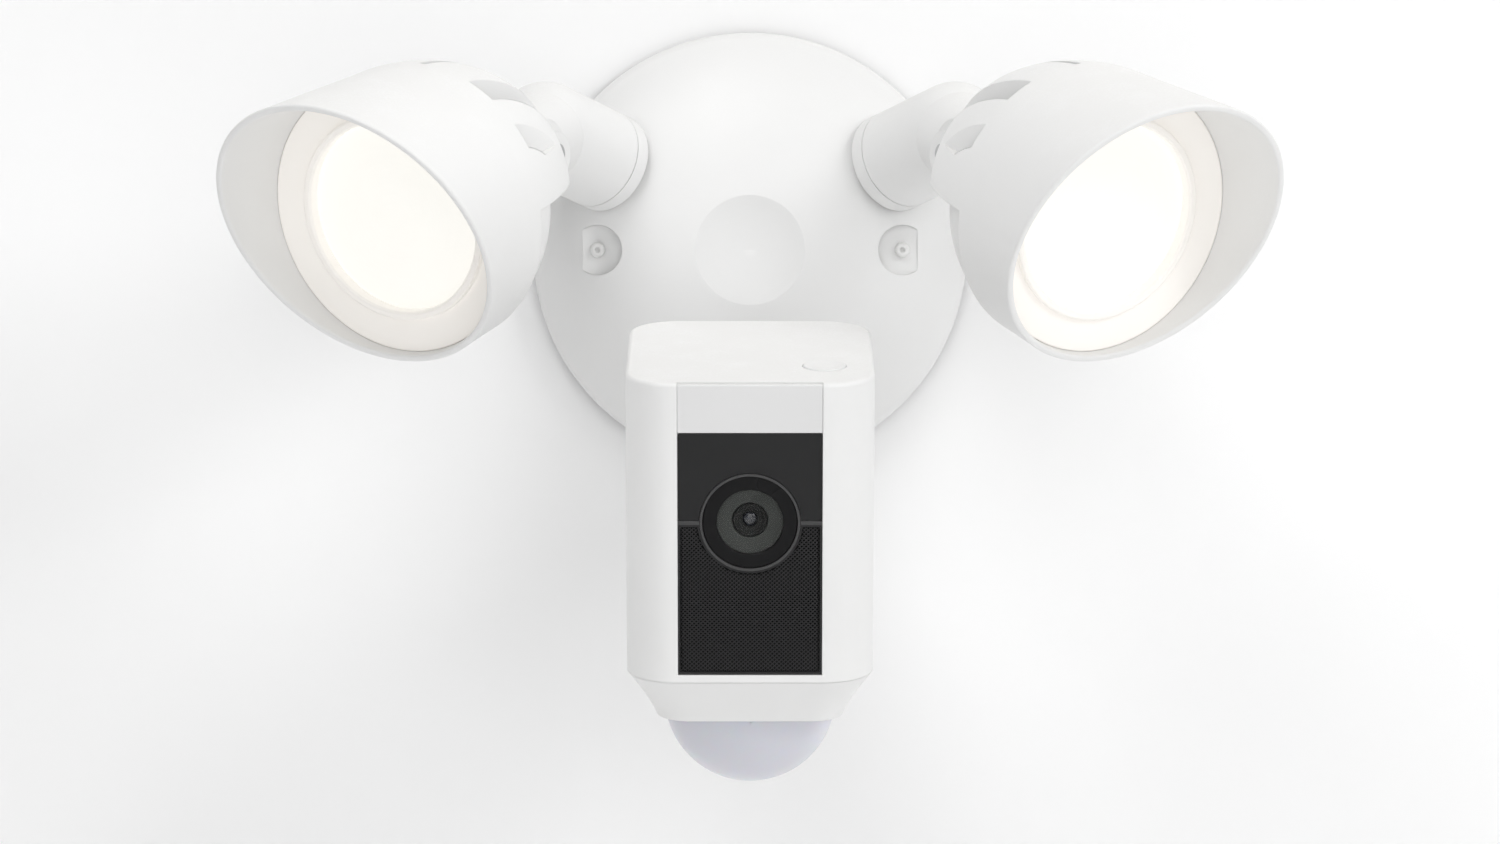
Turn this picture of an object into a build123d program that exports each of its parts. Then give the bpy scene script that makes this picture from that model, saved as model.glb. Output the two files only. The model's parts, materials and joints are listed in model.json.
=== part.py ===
from build123d import *
import os
from math import cos, pi, radians, sin, sqrt

# Floodlight security camera for an outside wall. Millimetres.
# Row frame: the origin is the centre of the wall face, +X right, +Y into the wall, +Z up.
# A domed base carries two light heads on swivelling arms and a camera head on a ball joint.

# ---- base, drawn with x right, y up and z out of the wall
BASE_R = 67.5
BASE_RIM = 8.0
BASE_CROWN = 34.0
BASE_WALL = 2.8
BASE_ROUND = 5.0
DOME_R = (BASE_R ** 2 + (BASE_CROWN - BASE_RIM) ** 2) / (2 * (BASE_CROWN - BASE_RIM))
GASKET_T = 2.0
GASKET_INNER_R = 60.5
DISH_R = 16.8
DISH_DEPTH = 3.0
POCKET_X = 47.0
POCKET_R = 7.7
POCKET_OUTER_X = 51.6
POCKET_FLOOR = 19.5
SCREW_R = 1.6
SCREW_HOLE_R = 1.75
SCREW_HEAD_R = 2.4
BRACKET_R = 58.0
BRACKET_T = 2.0
BOX_SCREW_SPACING = 88.9
SLOT_W = 5.0
SLOT_L = 12.0
CABLE_Y = 20.0
CABLE_R = 4.0
BACK_PLATE_R = 63.8
BACK_PLATE_Z = 4.4
BACK_PLATE_T = 1.6
PLATE_SCREW_R = 51.0
BOARD_Z = 11.0
BOARD_T = 1.6

# ---- arm of the left light; the right one is its mirror image
ARM_FOOT = Vector(-44.0, -20.0, 27.0)
ARM_DIR = Vector(-0.607, -0.740, 0.289).normalized()
ARM_R = 15.4
ARM_START = 3.9
ARM_BOSS_TOP = 3.75
ARM_SEAL_R = (10.0, 13.5)
ARM_SEAL_T = 1.1
ARM_NECK_R = (14.4, 11.0)
ELBOW_AT = 30.0
SPIGOT_R = 8.0
SPIGOT_END = -9.6
NUT_R = 10.0
WIRE_R = 3.5
FIT = 0.05

# ---- left light head, drawn with z along the beam, x across and y up, from its lens centre
LENS_CENTRE = Vector(-101.8, -130.0, 9.0)
LIGHT_YAW = 31.0
LIGHT_PITCH = 17.0
PIVOT_BACK = 66.0
LENS_R = 28.0
LENS_RING_R = 30.3
VISOR_INNER_R = 40.0
VISOR_FLARE = 2.0
VISOR_WALL = 2.0
VISOR_MID = 19.8
VISOR_SLOPE = 0.405
VISOR_LONG = 40.0
BODY_R = 41.5
BODY_SHOULDER = -10.0
BODY_SEMI = 54.0
BODY_BACK = -54.0
BOWL_R = 40.7
BOWL_Z = -8.0
FIN_FLOOR_R = 37.3
FIN_START = -18.0
FIN_SPLIT_Y = -2.0
FIN_SLOTS = ((5.4, 7.6, -0.5), (21.5, 28.5, -0.5), (34.5, 38.0, 11.0))
CAVITY_R = 34.3
TONGUE_T = 10.0
TONGUE_R = 10.0
KNUCKLE_R = 10.5
KNUCKLE_T = 22.0
PIVOT_R = 3.0

# ---- camera head, drawn from the middle of its top front edge with z out of its face
HEAD_CORNER = Vector(0.0, -185.7, -36.6)
HEAD_PITCH = 12.4
HEAD_W = 69.0
HEAD_D = 76.0
HEAD_H = 85.7
HEAD_CORNER_R = 14.0
HEAD_WALL = 2.4
FACE_WALL = 3.4
FACE_RECESS = 1.5
INSERT_T = 1.4
INSERT_W = 40.0
LABEL_END = 13.9
PANEL_TOP = 14.1
PANEL_END = 83.2
LENS_Y = -39.4
BAR_T = 0.95
RING_R = 13.9
RING_T = 0.7
SHROUD_R = 9.25
BARREL_R = 4.8
EYE_R = 2.05
CHIN_H = 13.9
CHIN_INSET = 8.2
CHIN_END = 99.6
EYE_DOME_R = 24.5
EYE_DOME_Z = -38.0
EYE_DOME_Y = -101.4
BUTTON_X = 20.7
BUTTON_Z = -20.6
BUTTON_R = 6.0

# ---- ball joint between the base and the camera head
STEM_FOOT = Vector(0.0, -24.8, -42.0)
BALL = Vector(0.0, -75.0, -57.0)
BALL_R = 13.0
LINER_T = 1.95
SOCKET_R = 19.0
LOCK_R = 22.0

BASE_PLANE = Plane(origin=(0, 0, 0), x_dir=(1, 0, 0), z_dir=(0, -1, 0))
ARM_PLANE = Plane(origin=ARM_FOOT, x_dir=(0, 0, 1), z_dir=ARM_DIR)
YAW = radians(LIGHT_YAW)
DIP = radians(LIGHT_PITCH)
BEAM = Vector(-sin(YAW) * cos(DIP), -cos(YAW) * cos(DIP), -sin(DIP))
ACROSS = Vector(cos(YAW), -sin(YAW), 0)
LIGHT_PLANE = Plane(origin=LENS_CENTRE, x_dir=ACROSS, z_dir=BEAM)
PIVOT = LENS_CENTRE - BEAM * PIVOT_BACK
PIVOT_PLANE = Plane(origin=PIVOT, x_dir=BEAM, z_dir=ACROSS)
HEAD_TILT = radians(HEAD_PITCH)
HEAD_PLANE = Plane(origin=HEAD_CORNER, x_dir=(1, 0, 0), z_dir=(0, -cos(HEAD_TILT), -sin(HEAD_TILT)))
BALL_LOCAL = HEAD_PLANE.to_local_coords(BALL)
ELBOW = ARM_FOOT + ARM_DIR * ELBOW_AT

UP = (Align.CENTER, Align.CENTER, Align.MIN)
parts = {}


# ---------------------------------------------------------------- helpers
def rod(radius, start, end, x=0.0, y=0.0):
    """Cylinder along z from start to end."""
    return Pos(x, y, start) * Cylinder(radius, end - start, align=UP)


def tube(outer, inner, start, end, x=0.0, y=0.0):
    """Round tube along z."""
    return rod(outer, start, end, x, y) - rod(inner, start - 1, end + 1, x, y)


def block(x0, x1, y0, y1, z0, z1):
    """Box between two corners."""
    return Pos((x0 + x1) / 2, (y0 + y1) / 2, (z0 + z1) / 2) * Box(x1 - x0, y1 - y0, z1 - z0)


def turned(*edges):
    """Solid of revolution about z of an outline drawn as (radius, height)."""
    return revolve(Plane.XZ * make_face(edges), Axis.Z)


def turned_points(*points):
    """Solid of revolution about z of a straight-sided outline."""
    return turned(Polyline(*points, close=True))


def circles(shape, radius, tolerance=0.02):
    """Round edges of one radius."""
    return shape.edges().filter_by(
        lambda e: e.geom_type == GeomType.CIRCLE and abs(e.radius - radius) < tolerance)


def ring_places(radius, count, start=0.0):
    """Points spaced evenly round a circle."""
    angles = [start + 2 * pi * i / count for i in range(count)]
    return [(radius * cos(a), radius * sin(a)) for a in angles]


def put(name, plane, shape):
    """Place a drawn shape in the row frame under its node's name."""
    parts[name] = plane * shape


def put_pair(name, plane, shape):
    """Place a left piece and its mirror image on the right."""
    left = plane * shape
    parts["left_" + name] = left
    parts["right_" + name] = mirror(left, about=Plane.YZ)


# ---------------------------------------------------------------- base
def dome_height(radius):
    return BASE_CROWN - DOME_R + sqrt(DOME_R ** 2 - radius ** 2)


def domed(radius, floor, rim, crown):
    """Flat-backed solid with a straight rim and a spherical crown."""
    half = radius / 2
    arc_r = (radius ** 2 + (crown - rim) ** 2) / (2 * (crown - rim))
    middle = (half, crown - arc_r + sqrt(arc_r ** 2 - half ** 2))
    sides = Polyline((0, crown), (0, floor), (radius, floor), (radius, rim))
    return turned(sides, ThreePointArc((radius, rim), middle, (0, crown)))


def in_base(plane):
    """A row-frame plane seen from the base's own drawing frame."""
    origin = BASE_PLANE.to_local_coords(plane.origin)
    x_dir = BASE_PLANE.to_local_coords(plane.x_dir)
    z_dir = BASE_PLANE.to_local_coords(plane.z_dir)
    return Plane(origin=origin, x_dir=x_dir, z_dir=z_dir)


def both_arms(shape):
    """A shape drawn on the left arm's axis, and its mirror image, in the base's frame."""
    left = in_base(ARM_PLANE) * shape
    return [left, mirror(left, about=Plane.YZ)]


STEM_DIR = (BALL - STEM_FOOT).normalized()
STEM_LENGTH = (BALL - STEM_FOOT).length
STEM_PLANE = Plane(origin=STEM_FOOT, x_dir=(1, 0, 0), z_dir=STEM_DIR)


def base_housing():
    outer = domed(BASE_R, GASKET_T, BASE_RIM, BASE_CROWN)
    outer = fillet(circles(outer, BASE_R).sort_by(Axis.Z)[-1], BASE_ROUND)
    plate_top = BACK_PLATE_Z + BACK_PLATE_T
    dish_edge = dome_height(DISH_R)
    dish_arc = (DISH_R ** 2 + DISH_DEPTH ** 2) / (2 * DISH_DEPTH)
    dish = Pos(0, 0, dish_edge - DISH_DEPTH + dish_arc) * Sphere(dish_arc)
    inner = domed(BASE_R - BASE_WALL, GASKET_T - 1, BASE_RIM - 1.2, BASE_CROWN - BASE_WALL)
    shell = outer - inner
    inside = rod(DISH_R + 3, dish_edge - DISH_DEPTH - 2.4, BASE_CROWN)
    for side in (-1, 1):
        inside += rod(POCKET_R + 2, plate_top, POCKET_FLOOR + 6, side * POCKET_X)
    for x, y in plate_screw_places():
        inside += rod(3.6, plate_top, 22, x, y)
    for boss in both_arms(rod(ARM_R, -6.0, 0.5)):
        inside += boss
    inside += in_base(STEM_PLANE) * rod(13, -6, 0.5)
    shell += inside & outer & rod(BASE_R, plate_top + 0.05, BASE_CROWN)
    groove = tube(ARM_SEAL_R[1], ARM_SEAL_R[0], ARM_BOSS_TOP - ARM_SEAL_T, ARM_BOSS_TOP + 1)
    for boss in both_arms(rod(ARM_R, -1.0, ARM_BOSS_TOP) - groove):
        shell += boss
    shell += in_base(STEM_PLANE) * rod(13, -1, 4.5)
    shell -= dish
    for side in (-1, 1):
        inner_x = side * (POCKET_X - POCKET_R - 1)
        outer_x = side * POCKET_OUTER_X
        low, high = sorted((inner_x, outer_x))
        pocket = rod(POCKET_R, POCKET_FLOOR, BASE_CROWN, side * POCKET_X)
        shell -= pocket & block(low, high, -POCKET_R, POCKET_R, POCKET_FLOOR, BASE_CROWN)
        shell -= rod(SCREW_HOLE_R, 0, BASE_CROWN, side * POCKET_X)
    for x, y in plate_screw_places():
        shell -= rod(SCREW_HOLE_R, 0, 16, x, y)
    for bore in both_arms(rod(SPIGOT_R + FIT, -20, 20)):
        shell -= bore
    shell -= in_base(STEM_PLANE) * rod(SPIGOT_R + FIT, -20, 20)
    return shell


def plate_screw_places():
    """Four screws between the arms, the pockets and the stem."""
    places = []
    for bearing in (62, 118, 222, 318):
        places.append((PLATE_SCREW_R * cos(radians(bearing)), PLATE_SCREW_R * sin(radians(bearing))))
    return places


def wall_bracket():
    plate = rod(BRACKET_R, 0, BRACKET_T)
    for side in (-1, 1):
        plate -= Pos(0, side * BOX_SCREW_SPACING / 2, BRACKET_T / 2) * Rot(0, 0, 90) * extrude(
            SlotOverall(SLOT_L, SLOT_W), amount=BRACKET_T, both=True)
        plate -= rod(SCREW_R + FIT, -1, 5, side * POCKET_X)
        plate -= block(*sorted((side * 20, side * 36)), -30, 30, -1, 5)
    plate -= rod(9, -1, 5, 0, CABLE_Y)
    return plate


def wall_gasket():
    return tube(BASE_R - 0.6, GASKET_INNER_R, 0, GASKET_T)


def back_plate():
    top = BACK_PLATE_Z + BACK_PLATE_T
    plate = rod(BACK_PLATE_R, BACK_PLATE_Z, top)
    for side in (-1, 1):
        plate -= rod(9.5, 0, 20, 0, side * BOX_SCREW_SPACING / 2)
        plate -= rod(SCREW_HOLE_R + 0.6, 0, 20, side * POCKET_X)
    for x, y in plate_screw_places():
        plate -= rod(SCREW_HOLE_R, 0, 20, x, y)
    return plate - rod(CABLE_R + 2, 0, 20, 0, CABLE_Y)


def cable_grommet():
    low = BACK_PLATE_Z
    high = BACK_PLATE_Z + BACK_PLATE_T
    sleeve = tube(CABLE_R + 1.95, CABLE_R, low - 1.6, high + 1.6, 0, CABLE_Y)
    flanges = tube(CABLE_R + 3.6, CABLE_R, low - 1.6, low, 0, CABLE_Y)
    flanges += tube(CABLE_R + 3.6, CABLE_R, high, high + 1.6, 0, CABLE_Y)
    return sleeve + flanges


def mounting_screws():
    screws = []
    for side in (-1, 1):
        x = side * POCKET_X
        head = Pos(x, 0, POCKET_FLOOR) * Cylinder(SCREW_HEAD_R, 1.8, align=UP)
        head = fillet(circles(head, SCREW_HEAD_R).sort_by(Axis.Z)[-1], 1.2)
        head -= Pos(x, 0, POCKET_FLOOR + 1.1) * extrude(RegularPolygon(0.8, 6), amount=1)
        screws.append(head + rod(SCREW_R, 0.3, POCKET_FLOOR, x))
    return Compound(children=screws)


def plate_screws():
    screws = []
    for x, y in plate_screw_places():
        head = rod(3.0, BACK_PLATE_Z - 1.6, BACK_PLATE_Z, x, y)
        head -= block(x - 2, x + 2, y - 0.4, y + 0.4, BACK_PLATE_Z - 3, BACK_PLATE_Z - 1)
        screws.append(head + rod(SCREW_R, BACK_PLATE_Z, 14, x, y))
    return Compound(children=screws)


def power_board():
    low, high = BOARD_Z, BOARD_Z + BOARD_T
    board = block(-24, 24, -22, 34, low, high) - rod(8, 0, 40, 0, CABLE_Y)
    for x, y, r in ((-16, -12, 5), (-16, 4, 4), (14, 28, 3.2)):
        board += rod(r, high, high + 9, x, y)
    board += block(8, 20, -4, 4, high, high + 6)
    transformer = block(0, 20, -20, -6, high, high + 11) + block(2, 18, -21.5, -4.5, high, high + 9)
    return board + transformer


def terminal_block():
    high = BOARD_Z + BOARD_T
    body = block(-22, -11, 12, 32, high, high + 9)
    for y in (16, 22, 28):
        body -= rod(1.8, high + 5, high + 12, -16.5, y)
        body -= Pos(-12, y, high + 3) * Rot(0, 90, 0) * Cylinder(1.5, 8)
    return body


def siren():
    low = BACK_PLATE_Z + BACK_PLATE_T
    return tube(10, 2.5, low, low + 6, -24, -33) + rod(10, low, low + 2, -24, -33)


def arm_seals():
    seal = tube(ARM_SEAL_R[1] - FIT, ARM_SEAL_R[0] + FIT, ARM_BOSS_TOP - ARM_SEAL_T, ARM_START - FIT)
    return Compound(children=both_arms(seal))


def camera_stem():
    """Hollow stalk with a spigot in the base and a ball at its end."""
    foot = rod(SPIGOT_R, -10, 4.5)
    flange = rod(13, 4.5, 7.5)
    flange = fillet(circles(flange, 13).sort_by(Axis.Z)[-1], 1.5)
    stalk = Pos(0, 0, 7) * Cone(9.5, 6.3, STEM_LENGTH - 7 - 8, align=UP)
    neck = rod(6.3, STEM_LENGTH - 9, STEM_LENGTH)
    ball = Pos(0, 0, STEM_LENGTH) * Sphere(BALL_R)
    return foot + flange + stalk + neck + ball - rod(WIRE_R, -12, STEM_LENGTH + 20)


# ---------------------------------------------------------------- arms
def arm():
    """Round arm, elbow and clevis in the row frame."""
    body = ARM_PLANE * rod(ARM_R, ARM_START, ELBOW_AT)
    body = fillet(nearest_circle(body), 0.25)
    body += ARM_PLANE * rod(SPIGOT_R, SPIGOT_END, ARM_START)
    body += Pos(ELBOW) * Sphere(ARM_R)
    neck_dir = PIVOT - ELBOW
    half = KNUCKLE_T / 2
    body += Plane(origin=ELBOW, z_dir=neck_dir) * Cone(*ARM_NECK_R, neck_dir.length, align=UP)
    body += PIVOT_PLANE * rod(KNUCKLE_R, -half, half)
    body -= PIVOT_PLANE * rod(13, -TONGUE_T / 2 - 0.2, TONGUE_T / 2 + 0.2)
    body -= PIVOT_PLANE * rod(30, half, half + 30)
    body -= PIVOT_PLANE * rod(6.4, -half - 30, -half)
    body -= PIVOT_PLANE * rod(PIVOT_R + FIT, -half - 1, half + 1)
    return body - ARM_PLANE * rod(WIRE_R, SPIGOT_END - 1, ELBOW_AT)


def nearest_circle(body):
    """The arm's round edge that faces the base."""
    return min(circles(body, ARM_R), key=lambda e: (e.arc_center - ARM_FOOT).length)


def arm_nut():
    nut = extrude(RegularPolygon(NUT_R, 6), amount=2.9)
    return Pos(0, 0, -9.2) * nut - rod(SPIGOT_R + FIT, -20, 20)


def pivot_bolt():
    half = KNUCKLE_T / 2
    head = Pos(0, 0, -half - 3.6) * extrude(RegularPolygon(6.0, 6), amount=3.6)
    return head + rod(PIVOT_R, -half, half + 4.4)


def lock_tab():
    """Turning nut with one thin wing that hangs below the pivot."""
    half = KNUCKLE_T / 2
    nut = rod(6.8, half + 0.15, half + 3.9)
    wing = block(-3.4, 3.4, 0, 11.2, half + 0.5, half + 2.9)
    wing = fillet(wing.edges().filter_by(Axis.Z).sort_by(Axis.Y)[-2:], 2.2)
    return nut + wing - rod(PIVOT_R + FIT, 0, 40)


# ---------------------------------------------------------------- light heads
def ellipse_radius(z):
    return BODY_R * sqrt(1 - ((z - BODY_SHOULDER) / BODY_SEMI) ** 2)


def light_envelope():
    """Outside of a light head: finned back and flared visor, before its slots."""
    back_r = ellipse_radius(BODY_BACK)
    middle = (BODY_BACK + BODY_SHOULDER) / 2
    points = [(ellipse_radius(z), z) for z in (BODY_BACK, -46.0, middle, -20.0, BODY_SHOULDER)]
    curve = Spline(*points, tangents=((0.55, 0.84), (0, 1)))
    visor_out = VISOR_INNER_R + VISOR_WALL
    sides = Polyline((BODY_R, BODY_SHOULDER), (visor_out, 0), (visor_out + VISOR_FLARE, VISOR_LONG),
                     (0, VISOR_LONG), (0, BODY_BACK), (back_r, BODY_BACK))
    return turned(curve, sides)


def light_housing():
    body = light_envelope()
    smooth = Pos(0, 0, BOWL_Z) * Sphere(BOWL_R)
    below = block(-60, 60, -60, FIN_SPLIT_Y, -70, BOWL_Z - 6) - smooth
    body -= below
    floor = Pos(0, 0, BOWL_Z) * Sphere(FIN_FLOOR_R)
    for low, high, bottom in FIN_SLOTS:
        for x0, x1 in ((low, high), (-high, -low)):
            body -= block(x0, x1, bottom, 60, -60, FIN_START) - floor
    tongue = block(-TONGUE_T / 2, TONGUE_T / 2, -TONGUE_R, TONGUE_R, -PIVOT_BACK, -44)
    turn = Plane(origin=(0, 0, -PIVOT_BACK), x_dir=(0, 0, 1), z_dir=(1, 0, 0))
    body += tongue + turn * rod(TONGUE_R, -TONGUE_T / 2, TONGUE_T / 2)
    body -= turn * rod(PIVOT_R + FIT, -TONGUE_T, TONGUE_T)
    cavity = Pos(0, 0, BOWL_Z) * Sphere(CAVITY_R) & rod(60, -60, -13.9)
    cavity += rod(37, -14, 1) + rod(VISOR_INNER_R - 0.1, -3, 1)
    body -= cavity
    body -= turned_points((0, 0), (VISOR_INNER_R, 0), (VISOR_INNER_R + VISOR_FLARE, VISOR_LONG),
                          (VISOR_INNER_R + VISOR_FLARE, 60), (0, 60))
    cut = Plane(origin=(0, 0, VISOR_MID), x_dir=(1, 0, 0), z_dir=(0, -VISOR_SLOPE, 1))
    body -= cut * rod(90, 0, 90)
    rims = body.edges().filter_by(lambda e: abs(cut.to_local_coords(e.center()).Z) < 0.01 and e.length > 200)
    return fillet(rims, 0.7)


def bezel():
    return turned_points((LENS_R, -3), (VISOR_INNER_R - 0.2, -3), (VISOR_INNER_R - 0.2, -0.1),
                         (LENS_RING_R + 0.6, -1.0), (LENS_RING_R, -1.0), (LENS_RING_R, 0.5),
                         (LENS_RING_R - 0.5, 0.8), (LENS_R + 0.6, 0.8), (LENS_R, 0.2))


def diffuser():
    cap_r = (LENS_R ** 2 + 2.0 ** 2) / (2 * 2.0)
    cap = Pos(0, 0, -1.0 - cap_r) * Sphere(cap_r) & rod(LENS_R - 0.2, -3.2, 0)
    return cap + rod(33, -5, -3.05)


def led_board():
    board = rod(36.7, -13.95, -12.4)
    for x, y in ring_places(30, 3):
        board -= rod(1.6, -20, 0, x, y)
    return board


def leds():
    chips = []
    for radius, count in ((0, 1), (9, 6), (18, 12)):
        for x, y in ring_places(radius, count):
            chips.append(block(x - 1.6, x + 1.6, y - 1.6, y + 1.6, -12.4, -11.6))
    return Compound(children=chips)


def reflector():
    return turned_points((21.5, -12.3), (23.0, -12.3), (34.2, -6.3), (34.2, -6.1), (32.8, -6.1))


def light_seal():
    return tube(33, 29.5, -6.05, -5.05)


# ---------------------------------------------------------------- camera head
def plan(width, depth, radius, y, centre_z=-HEAD_D / 2):
    """Rounded rectangle seen from above, at one height of the camera head."""
    level = Plane(origin=(0, y, centre_z), x_dir=(1, 0, 0), z_dir=(0, -1, 0))
    return level * RectangleRounded(width, depth, radius)


def upright(radius, y0, y1, x=0.0, z=0.0):
    """Cylinder along y of the camera head, from height y0 down to y1."""
    level = Plane(origin=(x, y0, z), x_dir=(1, 0, 0), z_dir=(0, -1, 0))
    return level * Cylinder(radius, y0 - y1, align=UP)


def insert_plate(top, end, width=INSERT_W - 0.2, z=-0.1, radius=0.8):
    """Flat plate of the front insert, between two distances down the face."""
    plate = block(-width / 2, width / 2, -end, -top, z - INSERT_T, z)
    return fillet(plate.edges().filter_by(Axis.Z), radius)


def head_shell():
    outer = extrude(plan(HEAD_W, HEAD_D, HEAD_CORNER_R, 0), HEAD_H)
    outer = fillet(outer.edges().group_by(Axis.Y)[-1], 1.2)
    inner_w = HEAD_W - 2 * HEAD_WALL
    inner_d = HEAD_D - HEAD_WALL - FACE_WALL
    centre = -(FACE_WALL + inner_d / 2)
    inner = extrude(plan(inner_w, inner_d, HEAD_CORNER_R - HEAD_WALL, -HEAD_WALL, centre), HEAD_H)
    shell = outer - inner
    half = INSERT_W / 2
    recess = block(-half, half, -PANEL_END - 0.2, 2, -FACE_RECESS - 0.1, 2)
    shell -= recess
    shell -= rod(RING_R - 0.6, -10, 1, 0, LENS_Y)
    for row in range(4):
        for column in range(5):
            shell -= rod(1.6, -10, 1, -11 + 5.5 * column, -59.5 - 5.5 * row)
    back = block(-27, 27, -80, -8, -HEAD_D - 1, -HEAD_D + HEAD_WALL + 1)
    shell -= fillet(back.edges().filter_by(Axis.Z), 8)
    for x, y in rear_screw_places():
        post = rod(3.6, -HEAD_D + HEAD_WALL, -HEAD_D + 14, x, y)
        rib = block(*sorted((x, x * 2)), y - 1.5, y + 1.5, -HEAD_D + HEAD_WALL, -HEAD_D + 14)
        shell += (post + rib) & inner
        shell -= rod(SCREW_HOLE_R, -90, -40, x, y)
    shell -= upright(BUTTON_R + 0.15, 3, -6, BUTTON_X, BUTTON_Z)
    return shell


def rear_screw_places():
    return [(x, y) for x in (-22, 22) for y in (-13, -75)]


def rear_cover():
    cover = block(-26.8, 26.8, -79.8, -8.2, -HEAD_D + 0.2, -HEAD_D + HEAD_WALL)
    cover = fillet(cover.edges().filter_by(Axis.Z), 7.8)
    for x, y in rear_screw_places():
        cover -= rod(SCREW_HOLE_R, -90, -60, x, y)
    return cover - rod(5, -90, -60, 0, BALL_LOCAL.Y)


def rear_screws():
    screws = []
    for x, y in rear_screw_places():
        head = rod(2.8, -HEAD_D - 1.3, -HEAD_D + 0.2, x, y)
        head -= block(x - 1.8, x + 1.8, y - 0.35, y + 0.35, -HEAD_D - 2, -HEAD_D - 0.7)
        screws.append(head + rod(SCREW_R, -HEAD_D + 0.2, -HEAD_D + 8, x, y))
    return Compound(children=screws)


def chin_cover():
    """Coved skirt that narrows the head down to the motion sensor's dome."""
    steps = 5
    sections = []
    for i in range(steps):
        down = i / (steps - 1)
        inset = CHIN_INSET * (1 - (1 - down) ** 1.2)
        y = -HEAD_H - down * (CHIN_END - HEAD_H)
        sections.append(plan(HEAD_W - 2 * inset, HEAD_D - 2 * inset, HEAD_CORNER_R - inset * 0.6, y))
    skirt = loft(sections)
    hollow = extrude(plan(HEAD_W - 22, HEAD_D - 22, 6, -HEAD_H + 1), 11.5)
    skirt -= hollow
    return skirt - upright(EYE_DOME_R - 4, -80, -110, 0, EYE_DOME_Z)


def dome_seal():
    ring = upright(EYE_DOME_R - 0.9, -CHIN_END, -CHIN_END - 0.45, 0, EYE_DOME_Z)
    return ring - upright(EYE_DOME_R - 4, -90, -110, 0, EYE_DOME_Z)


def motion_dome():
    """Translucent hemisphere with a short skirt, hollow for the sensor."""
    skirt_top = -CHIN_END - 0.5
    centre = Pos(0, EYE_DOME_Y, EYE_DOME_Z)
    lower = block(-40, 40, -140, EYE_DOME_Y, -90, 20)
    outer = upright(EYE_DOME_R, skirt_top, EYE_DOME_Y, 0, EYE_DOME_Z) + (centre * Sphere(EYE_DOME_R) & lower)
    inner_r = EYE_DOME_R - 1.3
    inner = upright(inner_r, skirt_top + 1, EYE_DOME_Y, 0, EYE_DOME_Z) + (centre * Sphere(inner_r) & lower)
    return outer - inner


def motion_board():
    board = upright(19.5, -89.5, -91.0, 0, EYE_DOME_Z)
    return board + upright(1.5, -86.5, -89.5, 12, EYE_DOME_Z) + upright(1.5, -86.5, -89.5, -12, EYE_DOME_Z)


def motion_sensors():
    cans = []
    for x, y in ring_places(9, 3, pi / 2):
        can = upright(4.1, -91.05, -95.2, x, EYE_DOME_Z + y)
        cans.append(can - block(x - 1.7, x + 1.7, -96, -94.6, EYE_DOME_Z + y - 1.2, EYE_DOME_Z + y + 1.2))
    return Compound(children=cans)


def label_strip():
    half = INSERT_W / 2 - 0.05
    strip = block(-half, half, -LABEL_END, -0.25, -0.1 - INSERT_T, -0.1)
    return fillet(strip.edges().filter_by(Axis.X).sort_by(Axis.Y)[-1:], 0.6)


def upper_panel():
    plate = insert_plate(PANEL_TOP, -LENS_Y - BAR_T / 2)
    return plate - rod(RING_R + 0.1, -5, 5, 0, LENS_Y)


def divider_bar():
    half = INSERT_W / 2 - 0.1
    bar = block(-half, half, LENS_Y - BAR_T / 2 - 0.2, LENS_Y + BAR_T / 2 - 0.05, -1.45, 0.05)
    return bar - rod(RING_R + 0.1, -5, 5, 0, LENS_Y)


def speaker_grille():
    plate = insert_plate(-LENS_Y + BAR_T / 2 + 0.25, PANEL_END)
    return plate - rod(RING_R + 0.1, -5, 5, 0, LENS_Y)


def lens_ring():
    return tube(RING_R, RING_R - RING_T, -1.5, 0.25, 0, LENS_Y)


def lens_window():
    return rod(RING_R - RING_T - 0.05, -1.4, -0.25, 0, LENS_Y)


def lens_shroud():
    """Stepped cone behind the window that hides the lens barrel."""
    shade = turned_points((BARREL_R + 0.1, -6.5), (SHROUD_R + 1.5, -6.5), (SHROUD_R + 1.5, -5.0),
                          (SHROUD_R, -1.6), (SHROUD_R - 0.7, -1.6), (BARREL_R + 0.1, -5.2))
    return Pos(0, LENS_Y, 0) * shade


def lens_barrel():
    barrel = tube(BARREL_R, EYE_R + 0.1, -22, -2.6, 0, LENS_Y)
    return barrel + tube(7, EYE_R + 0.1, -22, -18, 0, LENS_Y)


def lens_glass():
    front = Pos(0, LENS_Y, -5.6) * Sphere(EYE_R)
    return front & block(-5, 5, LENS_Y - 5, LENS_Y + 5, -5.6, 0)


def sensor_board():
    board = block(-14, 14, LENS_Y - 14, LENS_Y + 14, -23.8, -22.1)
    return board + block(-5, 5, LENS_Y - 5, LENS_Y + 5, -22.1, -22.05)


def infrared_leds():
    lamps = []
    for x, y in ring_places(11.8, 4, pi / 4):
        lamps.append(rod(1.2, -4.2, -2.2, x, LENS_Y + y))
    return Compound(children=lamps)


def main_board():
    board = block(-28, 28, -80, -6, -52, -50.4)
    for x0, y0, size in ((-20, -30, 14), (4, -34, 11), (-10, -60, 9), (10, -70, 8)):
        board += block(x0, x0 + size, y0 - size, y0, -50.4, -48.8)
    return board


def speaker_driver():
    return Pos(0, -68, 0) * turned_points((0, -17), (7, -17), (7, -12), (12.5, -6.5), (12.5, -4.0),
                                          (11.3, -4.0), (5.0, -10.0), (0, -10.0))


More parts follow.
